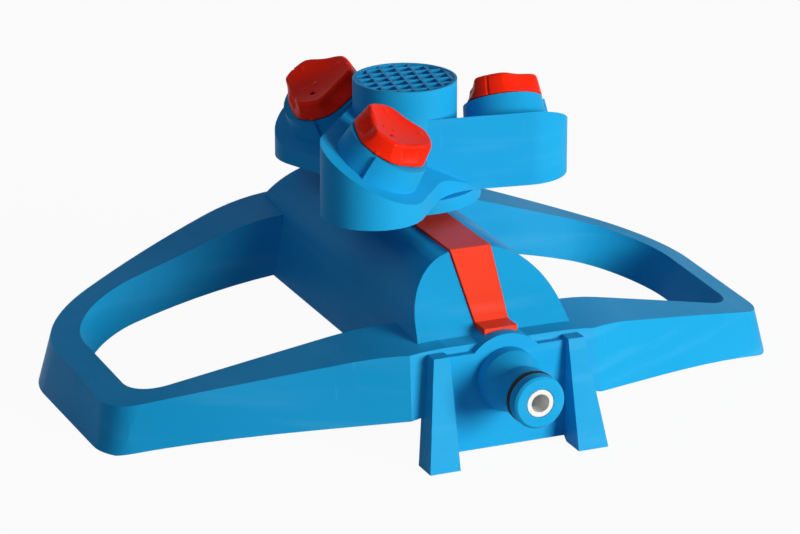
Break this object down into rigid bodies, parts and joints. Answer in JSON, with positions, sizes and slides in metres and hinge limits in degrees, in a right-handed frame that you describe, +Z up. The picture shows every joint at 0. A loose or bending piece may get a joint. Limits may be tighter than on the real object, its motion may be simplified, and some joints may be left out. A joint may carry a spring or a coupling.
{
  "type": "garden sprinkler",
  "caption": "Blue plastic garden sprinkler with looped wings, a vaulted tower, a front hose nipple and a spinning rotor with red adjustable nozzle dials.",
  "frame": {"origin": "middle of the footprint, on the ground", "axes": "+X along the wings, +Y from the hose inlet to the back, +Z up"},
  "size_m": [0.2228, 0.1682, 0.0943],
  "materials": {
    "blue_plastic": "semi-gloss moulded plastic",
    "red_plastic": "semi-gloss moulded plastic",
    "orange_plastic": "semi-gloss moulded plastic",
    "black_rubber": "smooth rubber",
    "white_plastic": "fine matt plastic",
    "dark_plastic": "fine matt plastic",
    "steel": "plain stainless steel"
  },
  "bodies": {
    "base": {"base_shell": "blue_plastic", "trim_strip": "orange_plastic", "inlet_nipple": "blue_plastic", "nipple_o_ring": "black_rubber", "inlet_insert": "white_plastic", "inlet_filter": "white_plastic", "inlet_seal": "black_rubber", "water_duct": "dark_plastic", "duct_screws": "steel", "bearing_bush": "white_plastic", "thrust_washer": "white_plastic", "spindle_seal": "black_rubber"},
    "rotor": {"rotor_shell": "blue_plastic", "rotor_cover": "blue_plastic", "hub_cap": "blue_plastic", "spindle": "steel", "spindle_clip": "steel", "nozzle_seat_1": "dark_plastic", "nozzle_seat_2": "dark_plastic", "nozzle_seat_3": "dark_plastic"},
    "dial_1": {"dial_1": "red_plastic", "dial_ring_1": "black_rubber", "nozzle_1": "dark_plastic"},
    "dial_2": {"dial_2": "red_plastic", "dial_ring_2": "black_rubber", "nozzle_2": "dark_plastic"},
    "dial_3": {"dial_3": "red_plastic", "dial_ring_3": "black_rubber", "nozzle_3": "dark_plastic"}
  },
  "joints": [
    {"name": "rotor_spin", "type": "hinge", "parent": "base", "child": "rotor", "pos_m": [0, 0.015, 0.058], "axis": [0, 0, 1], "continuous": true},
    {"name": "dial_1_turn", "type": "hinge", "parent": "rotor", "child": "dial_1", "pos_m": [0.0323, 0.01384, 0.08295], "axis": [0.0776, 0.5016, 0.8616], "range_deg": [-118, 3]},
    {"name": "dial_2_turn", "type": "hinge", "parent": "rotor", "child": "dial_2", "pos_m": [-0.01515, 0.04355, 0.08295], "axis": [-0.4732, -0.1835, 0.8616], "range_deg": [-119, 2]},
    {"name": "dial_3_turn", "type": "hinge", "parent": "rotor", "child": "dial_3", "pos_m": [-0.01715, -0.0124, 0.08295], "axis": [0.3955, -0.318, 0.8616], "range_deg": [-1, 120]}
  ]
}
